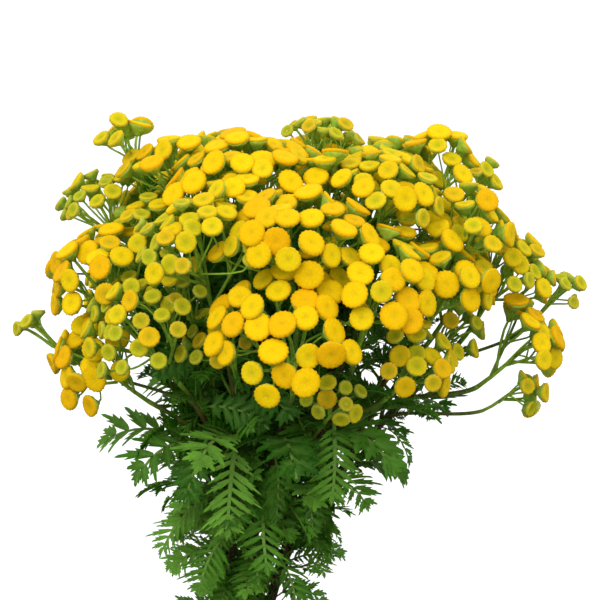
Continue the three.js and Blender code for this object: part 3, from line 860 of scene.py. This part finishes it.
def leaf_template(form, seed, pairs, breadth):
    """A whole leaf, with its stalk at 0, its tip at 1 along x, and its upper face up."""
    edge, rib_steps, rib_sides = form
    random = seeded(seed)
    leaf = Pieces("vein")
    start, end = LEAF["petiole"], LEAF["cut_to"]
    pitch = (end - start) / pairs
    for i in range(pairs):
        reach = LEAF["width"] * math.sin(math.pi * lerp(*LEAF["swell"], i / pairs))
        for side in (-1, 1):
            x = start + pitch * (i + LEAFLETS["stagger"] * random())
            out = reach * between(random, *LEAFLETS["reach"])
            slant = LEAF["forward"] * between(random, *LEAFLETS["slant"])
            tip = (x + LEAFLETS["ahead"] * pitch + out * slant, side * out)
            cup = between(random, *LEAFLETS["cup"])
            droop = between(random, *LEAFLETS["droop"])
            half = pitch * breadth * between(random, *LEAFLETS["half"])
            points, faces, veins = leaflet(edge, (x, side * LEAFLETS["root"]), tip, half, cup, droop)
            leaf.add(points, faces, vein=veins)
    last_root = (end - pitch * END_LEAFLET["back"], 0)
    half = pitch * breadth * END_LEAFLET["half"]
    points, faces, veins = leaflet(edge, last_root, (1.0, 0), half, END_LEAFLET["cup"], END_LEAFLET["droop"])
    leaf.add(points, faces, vein=veins)
    rib = Pieces("vein")
    path = [Vector((RIB["end"] * i / rib_steps, 0, 0)) for i in range(rib_steps + 1)]
    tube(rib, path, taper(*RIB["radii"], rib_steps), rib_sides, vein=VEIN["rib"])
    winged = np.concatenate(rib.points)
    winged[:, 1] *= np.where(winged[:, 0] > start * RIB["stalk"], RIB["wings"], 1.0)
    winged[:, 2] = winged[:, 2] * RIB["flat"] - BLADE_THICKNESS / 2
    leaf.add(winged, rib.faces, vein=np.concatenate(rib.values["vein"]))
    faces = {}
    for block in leaf.faces:
        faces.setdefault(block.shape[1], []).append(block)
    faces = [np.concatenate(blocks) for blocks in faces.values()]
    return np.concatenate(leaf.points), faces, np.concatenate(leaf.values["vein"])


# Each leaf: its form, its seed, its pairs of leaflets and their breadth
LARGE_LEAVES = [
    leaf_template(LARGE, 301, 7, 0.43),
    leaf_template(LARGE, 302, 8, 0.45),
    leaf_template(LARGE, 303, 6, 0.43),
    leaf_template(LARGE, 304, 5, 0.58),
]
SMALL_LEAVES = [leaf_template(SMALL, seed, 6, 0.46) for seed in (311, 312, 313)]
SMALL_LEAF_UNDER = 25
FERN_LEAVES = [leaf_template(LARGE, 321, 9, 0.36), leaf_template(LARGE, 322, 8, 0.36)]
BROAD_LEAVES = [leaf_template(SMALL, 331, 5, 0.62), leaf_template(SMALL, 332, 6, 0.62)]
# How far a leaf twists about its rib and bends aside towards its tip, at most
TWIST = 0.8
SIDEWAYS = 0.12


def add_leaf(
    leaves, root, turn, length, rise, bend, random, roll=0, tone=None, templates=None, palest=1
):
    """A leaf that leaves the stem at its rise, bends down to its tip and folds up a little from its rib. Rise
    and bend are in degrees, turn and roll in radians. Where no tone is given, it draws one up to palest."""
    rise, bend = math.radians(rise), math.radians(bend)
    templates = templates or (SMALL_LEAVES if length < SMALL_LEAF_UNDER else LARGE_LEAVES)
    flat, faces, veins = templates[int(random() * len(templates))]
    flat = flat * length
    along, side = flat[:, 0], flat[:, 1]
    twist = roll + between(random, -TWIST, TWIST) * along / length
    lift = flat[:, 2] + np.abs(side) * LEAF["fold"]
    side, lift = side * np.cos(twist) - lift * np.sin(twist), side * np.sin(twist) + lift * np.cos(twist)
    side = side + between(random, -SIDEWAYS, SIDEWAYS) * along * along / length
    angle = rise - bend * along / length
    radius = length / bend
    out = radius * (math.sin(rise) - np.sin(angle)) - lift * np.sin(angle)
    up = radius * (np.cos(angle) - math.cos(rise)) + lift * np.cos(angle)
    points = (
        np.array(root)
        + np.outer(out, (math.cos(turn), math.sin(turn), 0))
        + np.outer(up, (0, 0, 1))
        + np.outer(side, (-math.sin(turn), math.cos(turn), 0))
    )
    leaves.add(points, faces, vein=veins, chance=palest * random() if tone is None else tone)


# The leaves between those of the CAD part, from the foot of the stems up into the sprays: how many on a stem,
# where on it they stand, their lengths, their rise and bend in degrees, and how pale they may be
MORE_LEAVES = [
    dict(count=6, span=(0.12, 0.46), length=(22, 34), rise=(0, 70), bend=(50, 130), palest=1),
    dict(count=5, span=(0.42, 0.7), length=(26, 42), rise=(-25, 65), bend=(40, 110), palest=0.9),
    dict(count=9, span=(0.62, 0.98), length=(15, 26), rise=(20, 85), bend=(10, 80), palest=0.5),
]
# An inner stem's leaves are this much longer.
INNER_LEAVES = 1.3
# Small leaves inside the clump, on branches and on shoots, none paler than the limit below: their darker tone
# is painted shade inside the clump. loose is how freely they stand along them.
BRANCH_LEAVES = dict(count=5, span=(0.2, 0.98), loose=1, length=(11, 19), rise=(20, 80), bend=(10, 80))
SHOOT_LEAVES = dict(count=7, span=(0.2, 0.98), loose=0.5, length=(16, 24.9), rise=(20, 75), bend=(20, 90))
INNER_SHADE_PALEST = 0.5
# How far a leaf is rolled about its rib, in radians
ROLL = (-0.7, 0.7)
# The lowest branches are bare far out.
BARE = dict(below=268, beyond=56)
# Leafy shoots without flowers fill the middle of the clump. They start on these stretches of the stem, lean
# towards the clump's axis, fully from full_at away, and stray from that way by chance.
SHOOTS = dict(
    starts=[(0.5, 0.64), (0.62, 0.76), (0.7, 0.86)], length=(36, 56), lean=0.5, full_at=40, stray=0.8
)
SHOOT_STEM = dict(bows=(0.2, 0.35), steps=10, sides=6, radii=(0.8, 0.45), age=0.1)
# Leaves on chosen stems: how far up the stem, turn in degrees, length, rise and bend in degrees, roll and
# tone. These hang with their face to the front.
FACING_LEAVES = {
    "front": [(0.5, 262, 38, -25, 55, 0.1, 0.5)],
    "mid_left": [(0.66, 263, 44, -38, 46, 0, 1), (0.4, 238, 36, -5, 65, 0.2, 0.45)],
    "front_right": [
        (0.8, 276, 38, -32, 50, -0.1, 0.7), (0.36, 300, 32, 5, 80, 0, 0.35),
        (0.3, 328, 31, 10, 85, 0.1, 0.25), (0.23, 290, 28, 15, 90, 0, 0.45),
    ],
    "right_upper": [(0.36, 310, 27, -5, 70, 0, 0.3), (0.26, 318, 29, 15, 90, -0.1, 0.2)],
    "right_outer": [(0.42, 295, 26, -10, 60, 0.2, 0.4), (0.3, 350, 25, 40, 60, 0.6, 0.3)],
    "left_inner": [(0.55, 218, 40, 5, 70, 0, 0.7)],
}
# These darken the heart of the clump under the sprays. They all have one dark tone, which is painted shade.
HEART_PAINTED_SHADE_TONE = 0.03
HEART_LEAVES = {
    "mid_left": [(0.9, 200, 32, 20, 60, -1), (0.84, 330, 32, 0, 60, 1)],
    "left_inner": [(0.78, 250, 32, -20, 60, 0), (0.88, 345, 32, 20, 60, 1), (0.84, 80, 32, 70, 30, 0)],
    "left_mid": [
        (0.8, 340, 34, 0, 60, 1), (0.7, 350, 36, -10, 50, 1), (0.88, 90, 34, 75, 30, 0),
        (0.82, 50, 34, 60, 40, 0.4), (0.94, 20, 34, 45, 40, 0.8), (0.97, 100, 36, 75, 30, 0),
    ],
    "top_left": [
        (0.78, 260, 36, -40, 45, 0), (0.86, 340, 34, -5, 50, 1), (0.95, 350, 32, 10, 50, 1),
        (0.95, 80, 34, 75, 30, 0), (0.97, 40, 34, 65, 30, 0.4),
    ],
    "top": [
        (0.8, 185, 34, 25, 60, -1), (0.84, 350, 34, 20, 60, 1), (0.76, 250, 34, -35, 50, 0),
        (0.9, 180, 32, 15, 50, -1.1), (0.93, 90, 34, 75, 30, 0.1), (0.95, 20, 34, 55, 40, 0.7),
        (0.92, 160, 34, 45, 40, -0.8),
    ],
    "back_left": [
        (0.8, 350, 36, 0, 60, 1), (0.84, 90, 38, 75, 30, 0), (0.88, 30, 36, 55, 40, 0.6),
        (0.92, 150, 34, 55, 40, -0.7), (0.96, 80, 34, 75, 30, 0), (0.9, 185, 34, 45, 40, -0.9),
    ],
    "back": [
        (0.8, 190, 36, 10, 50, -1), (0.92, 185, 34, 25, 45, -1), (0.95, 80, 36, 75, 30, 0),
        (0.9, 20, 36, 55, 40, 0.7), (0.92, 160, 36, 55, 40, -0.7), (0.97, 30, 34, 60, 40, 0.5),
        (0.82, 80, 36, 70, 30, 0),
    ],
    "top_back": [
        (0.75, 200, 34, 0, 60, -1), (0.85, 190, 32, 10, 60, -1), (0.92, 100, 34, 75, 30, 0),
        (0.86, 150, 36, 55, 40, -0.7),
    ],
    "upper_right": [
        (0.78, 200, 34, 0, 60, -1), (0.88, 190, 32, 10, 60, -1), (0.92, 90, 34, 75, 30, 0),
        (0.95, 150, 34, 60, 40, -0.7),
    ],
    "back_right": [(0.93, 90, 36, 75, 30, 0), (0.88, 150, 36, 55, 40, -0.7)],
}
# The foliage's outline: for a height, the middle of the leaves and how far they come out from it
FOLIAGE_HEIGHTS = [90, 130, 145, 160, 176, 200, 225, 250, 300]
FOLIAGE_MIDDLES = [-24, -20, -19, -24, -25, -14, -12, -6, 0]
FOLIAGE_REACHES = [24, 25, 27, 32, 38, 54, 60, 66, 80]
# A bent leaf comes out by this share of its length. It is cut to fit the outline, at most to half its length.
LEAF_REACH = 0.84
SHORTEST_CUT = 0.5
# A stem is green above this height, and brown once it is fade lower. Towards its own tip it is green too.
AGE = dict(green_above=292, fade=90, tip_power=8)
RIDGE = 0.07


def add_more_leaves(leaves, plant):
    """Leaves round the stem in a spiral, kept inside the foliage's outline."""
    random = seeded(SEEDS["more_leaves"] + plant["index"])
    for kind in MORE_LEAVES:
        spin = random() * 2 * math.pi
        for n in range(kind["count"]):
            root = bezier(*plant["main"], lerp(*kind["span"], (n + random()) / kind["count"]))
            turn = spin + n * GOLDEN_TURN
            middle = np.interp(root.z, FOLIAGE_HEIGHTS, FOLIAGE_MIDDLES)
            reach = np.interp(root.z, FOLIAGE_HEIGHTS, FOLIAGE_REACHES)
            outward = Vector((root.x - middle, root.y)).dot(Vector((math.cos(turn), math.sin(turn))))
            length = between(random, *kind["length"]) * (1 if plant["ring"] == OUTER else INNER_LEAVES)
            length = max(SHORTEST_CUT * length, min(length, float(reach - outward) / LEAF_REACH))
            rise, bend, roll = (between(random, *span) for span in (kind["rise"], kind["bend"], ROLL))
            add_leaf(leaves, root, turn, length, rise, bend, random, roll, palest=kind["palest"])


def add_inner_leaves(leaves, curve, kind, random, first_turn=None):
    """Small leaves along a branch, or in a spiral up a shoot from its first turn."""
    for n in range(kind["count"]):
        root = bezier(*curve, lerp(*kind["span"], (n + kind["loose"] * random()) / kind["count"]))
        far_out = root.z < BARE["below"] and math.hypot(root.x, root.y) > BARE["beyond"]
        if first_turn is None and far_out:
            continue
        rise, bend, length = (between(random, *kind[name]) for name in ("rise", "bend", "length"))
        turn = random() * 2 * math.pi if first_turn is None else first_turn + n * GOLDEN_TURN
        roll = between(random, *ROLL)
        # Their tone is kept dark, as painted shade inside the clump.
        add_leaf(leaves, root, turn, length, rise, bend, random, roll, palest=INNER_SHADE_PALEST)


def add_shoot(stems, leaves, plant, start, random):
    """A leafy shoot that leans towards the middle of the clump."""
    root = bezier(*plant["main"], between(random, *start))
    length = between(random, *SHOOTS["length"])
    turn = random() * 2 * math.pi
    aside = Vector(
        (
            (CROWN["x"] - root.x) / SHOOTS["full_at"] + SHOOTS["stray"] * math.cos(turn),
            -root.y / SHOOTS["full_at"] + SHOOTS["stray"] * math.sin(turn),
            0,
        )
    )
    end = root + (UP + aside * SHOOTS["lean"]).normalized() * length
    low_bow, high_bow = SHOOT_STEM["bows"]
    curve = (root, root + (aside + UP) * (low_bow * length), end - UP * (high_bow * length), end)
    path = points_along(curve, SHOOT_STEM["steps"])
    radii = np.linspace(*SHOOT_STEM["radii"], len(path))
    tube(stems, path, radii, SHOOT_STEM["sides"], age=SHOOT_STEM["age"])
    add_inner_leaves(leaves, curve, SHOOT_LEAVES, random, turn)


def add_bars(stems, spray, kind):
    """The stem or branch that carries a spray."""
    steps = kind["steps"]
    path = points_along(spray.curve, steps)
    radii = taper(slimness(spray) * kind["foot"], trunk_radii(spray)[0], steps)
    age = []
    for i, point in enumerate(path):
        low = clamp01((AGE["green_above"] - point.z) / AGE["fade"])
        age.append(kind["age"] * (low * (1 - (i / steps) ** AGE["tip_power"])))
    tube(stems, path, radii, kind["sides"], ridge=RIDGE, age=age)


def add_cad_leaves(leaves, plant, random, extra):
    """The long leaves that the CAD part's outer stems have."""
    stagger = 0.5 if plant["index"] % 2 else 0
    for j in range(LEAVES["per_stem"]):
        draws = [random() for _ in range(4)]
        up = LEAVES["start"] + LEAVES["step"] * (j + stagger + LEAVES["start_varies"] * draws[0])
        aside = (1 if j % 2 else -1) + LEAVES["fan_varies"] * (draws[1] - 0.5)
        turn = plant["turn"] + math.radians(LEAVES["fan"]) * aside
        length = lerp(LEAVES["shortest"], LEAVES["longest"], (j / (LEAVES["per_stem"] - 1)) ** 2)
        length *= lerp(*LEAVES["length_varies"], draws[2])
        bend = LEAVES["bend"] * lerp(*LEAVES["bend_varies"], draws[3])
        add_leaf(leaves, bezier(*plant["main"], up), turn, length, LEAVES["rise"], bend, extra)


def add_plant(plant):
    """A stem with its side branches, and the leaves on it."""
    name, index = plant["name"], plant["index"]
    stems = Pieces("age")
    leaves = Pieces("vein", "chance", smooth=False)
    for k, spray in enumerate(plant["sprays"]):
        add_bars(stems, spray, BRANCH if k else STEM)
    extra = seeded(SEEDS["other_leaves"] + index)
    if plant["ring"] == OUTER:
        add_cad_leaves(leaves, plant, seeded(SEEDS["leaves"] + index), extra)
    add_more_leaves(leaves, plant)
    for spray in plant["sprays"][1:]:
        add_inner_leaves(leaves, spray.curve, BRANCH_LEAVES, extra)
    for start in SHOOTS["starts"]:
        add_shoot(stems, leaves, plant, start, extra)
    rows = [(FERN_LEAVES, *row) for row in FACING_LEAVES.get(name, [])]
    # The heart leaves take the one dark tone of painted shade.
    rows += [(BROAD_LEAVES, *row, HEART_PAINTED_SHADE_TONE) for row in HEART_LEAVES.get(name, [])]
    for templates, t, turn, length, rise, bend, roll, tone in rows:
        root, turn = bezier(*plant["main"], t), math.radians(turn)
        add_leaf(leaves, root, turn, length, rise, bend, extra, roll, tone, templates)
    place("stem_fine_" + name, stems, STEMMY, "leafy", "stem_" + name)
    place("leaves_" + name, leaves, LEAFY, "leafy", "stem_" + name)


for plant in plants:
    add_plant(plant)


# The pot and its soil


POT_SIDES = 120
# Turning marks round the pot: their depth, how quickly they follow each other, and the share of it they use
TURNING = dict(depth=0.12, pace=2.1, share=0.9)
# The soil's surface lies lower than the CAD part's, which leaves room for its bumps and crumbs. The bumps
# fade within this distance of the edge.
GROUND = dict(rings=38, sides=96, lowered=1.6, bumps=1.5, edge=5)
# A draw above larger_from makes a crumb larger, and one above grit_from makes it a piece of pale grit.
CRUMBS = dict(
    count=280, from_edge=3, size=(0.5, 1.7), width=(0.7, 1.3), height=(0.5, 0.9), larger_from=0.93,
    larger=1.5, grit_from=0.965, grit_tone=0.97, palest=0.9,
)


def make_pot():
    """The pot, turned from a profile that goes out under its foot, up over its rim and down inside it."""
    pot = Pieces()
    h, rim, body, foot, band, wall, floor = (
        POT[k] for k in ("height", "rim", "body_top", "foot", "band", "wall", "floor")
    )
    step = h - band
    profile = [
        (foot - 6, 0.0), (foot - 1.4, 0.0), (foot - 0.4, 0.4), (foot, 1.4),
        *[(lerp(foot, body, t), lerp(1.4, step - 0.4, t)) for t in np.linspace(0.04, 0.99, 24)],
        (body, step), (rim - 1.2, step), (rim - 0.3, step + 0.4), (rim, step + 1.4), (rim, h - 6),
        (rim, h - 1.8), (rim - 0.5, h - 0.5), (rim - 1.8, h), (rim - wall + 1.6, h),
        (rim - wall + 0.4, h - 0.5), (rim - wall, h - 1.6),
        *[(lerp(rim - wall, foot - wall, t), lerp(h - 1.6, floor, t)) for t in (0.15, 0.3, 0.6, 0.9, 1.0)],
    ]
    turns = circle(POT_SIDES)
    rings = [level_ring(radius, height, turns) for radius, height in profile]
    points = np.concatenate([*rings, [[0, 0, 0], [0, 0, floor]]])
    reach = np.hypot(points[:, 0], points[:, 1])
    turning = TURNING["depth"] * np.sin(points[:, 2] * TURNING["pace"]) * (reach > foot - 3)
    marked = reach - TURNING["depth"] + turning * TURNING["share"]
    points[:, :2] *= np.where(reach > 1, marked / np.maximum(reach, 1), 1)[:, None]
    pot.add(points, closed_faces(len(rings), POT_SIDES))
    place("pot_fine", pot, CLAY, "clay", "pot")


def soil_height(r, outer):
    """The top of the soil at a distance from the pot's axis."""
    return SOIL["level"] + SOIL["mound"] * (1 - (r / outer) ** 2)


def soil_bumps(x, y):
    """The fine rise and fall of the soil's surface, about -1 to 1."""
    return noise.fractal(Vector((x, y, 3)) * 0.22, 0.8, 2.1, 5)


def soil_radius(z):
    """How far out the soil comes at a height inside the pot."""
    share = (z - POT["floor"]) / (POT["height"] - POT["floor"])
    return lerp(POT["foot"], POT["rim"], share) - POT["wall"] - SOIL["clearance"]


def make_soil():
    soil = Pieces("chance")
    random = seeded(SEEDS["soil"])
    low = POT["floor"] + GAP
    outer = soil_radius(SOIL["level"])
    rings, sides, lowered = GROUND["rings"], GROUND["sides"], GROUND["lowered"]
    turns = circle(sides)
    points = level_ring(soil_radius(low), low, turns).tolist()
    chance = [0.3] * sides
    for i in range(rings):
        r = outer * (1 - i / rings)
        edge = min(1, (outer - r) / GROUND["edge"])
        for a in turns:
            x, y = r * math.cos(a), r * math.sin(a)
            bumps = soil_bumps(x, y)
            points.append([x, y, soil_height(r, outer) - lowered + GROUND["bumps"] * bumps * edge])
            chance.append(clamp01(0.35 + 0.3 * bumps))
    points += [[0, 0, low], [0, 0, soil_height(0, outer) - lowered]]
    soil.add(points, closed_faces(rings + 1, sides), chance=[*chance, 0.3, 0.4])

    bpy.ops.mesh.primitive_ico_sphere_add(subdivisions=2, radius=1)
    ball = bpy.context.object
    crumb = np.array([v.co for v in ball.data.vertices])
    crumb_faces = [np.array([p.vertices for p in ball.data.polygons])]
    bpy.data.objects.remove(ball)
    for _ in range(CRUMBS["count"]):
        r = (outer - CRUMBS["from_edge"]) * math.sqrt(random())
        a = random() * 2 * math.pi
        size = between(random, *CRUMBS["size"])
        size *= CRUMBS["larger"] if random() > CRUMBS["larger_from"] else 1
        shape = np.array([between(random, *CRUMBS[way]) for way in ("width", "width", "height")]) * size
        seed = Vector((random() * 50, random() * 50, random() * 50))
        lumps = np.array([1 + 0.5 * noise.noise(Vector(v) * 1.3 + seed) for v in crumb])
        spin = random() * 2 * math.pi
        c, s = math.cos(spin), math.sin(spin)
        turned = (crumb * lumps[:, None] * shape) @ np.array([[c, s, 0], [-s, c, 0], [0, 0, 1]])
        x, y = r * math.cos(a), r * math.sin(a)
        z = soil_height(r, outer) - lowered + GROUND["bumps"] * soil_bumps(x, y)
        pale = random()
        tone = CRUMBS["grit_tone"] if pale > CRUMBS["grit_from"] else CRUMBS["palest"] * pale
        soil.add(turned + np.array([x, y, z]), crumb_faces, chance=tone)
    place("soil_fine", soil, EARTH, "soil", "soil")


make_pot()
make_soil()


# Stage, light and camera


def floor_material():
    nodes = Nodes("pale_floor", roughness=0.9, specular=0.1)
    nodes.set(nodes.shader, {"Emission Color": (1, 1, 1, 1), "Emission Strength": 0.1})
    return nodes.finish((0.93, 0.93, 0.93, 1))


def make_stage():
    bpy.ops.mesh.primitive_plane_add(size=16, location=(0, 0, 0))
    floor = bpy.context.object
    floor.name = "floor"
    floor.data.materials.append(floor_material())
    floor.visible_diffuse = False


def area_light(name, location, size, power, aim):
    data = bpy.data.lights.new(name, "AREA")
    data.shape = "DISK"
    data.size = size
    data.energy = power
    light = bpy.data.objects.new(name, data)
    light.location = location
    light.rotation_euler = (Vector(aim) - Vector(location)).to_track_quat("-Z", "Y").to_euler()
    bpy.context.scene.collection.objects.link(light)


# The sky is white down to the horizon, and dim below the floor.
SKY = {"From Min": -0.25, "From Max": -0.06, "To Min": 0.1, "To Max": 1.0}

make_stage()
area_light("key", (-0.7, -1.5, 1.6), 1.3, 17, (0, 0, 0.22))
area_light("fill", (1.5, -1.0, 0.9), 1.6, 3, (0, 0, 0.22))
area_light("back", (0.3, 1.5, 1.6), 1.5, 5, (0, 0, 0.25))

world = bpy.data.worlds.new("soft_white")
world.use_nodes = True
sky = world.node_tree.nodes["Background"]
sky.inputs["Color"].default_value = (1, 1, 1, 1)
direction = world.node_tree.nodes.new("ShaderNodeTexCoord")
height = world.node_tree.nodes.new("ShaderNodeSeparateXYZ")
strength = world.node_tree.nodes.new("ShaderNodeMapRange")
for name, value in SKY.items():
    strength.inputs[name].default_value = value
world.node_tree.links.new(direction.outputs["Generated"], height.inputs["Vector"])
world.node_tree.links.new(height.outputs["Z"], strength.inputs["Value"])
world.node_tree.links.new(strength.outputs["Result"], sky.inputs["Strength"])
bpy.context.scene.world = world
bpy.context.scene.view_settings.view_transform = "Standard"

camera_data = bpy.data.cameras.new("camera")
camera_data.lens = LENS
camera_data.sensor_width = SENSOR
camera_data.clip_start = 0.01
camera_data.clip_end = 50
camera = bpy.data.objects.new("camera", camera_data)
camera.location = TARGET + Vector((0, -math.cos(ELEVATION), math.sin(ELEVATION))) * DISTANCE
camera.rotation_euler = (math.pi / 2 - ELEVATION, 0, 0)
bpy.context.scene.collection.objects.link(camera)
bpy.context.scene.camera = camera
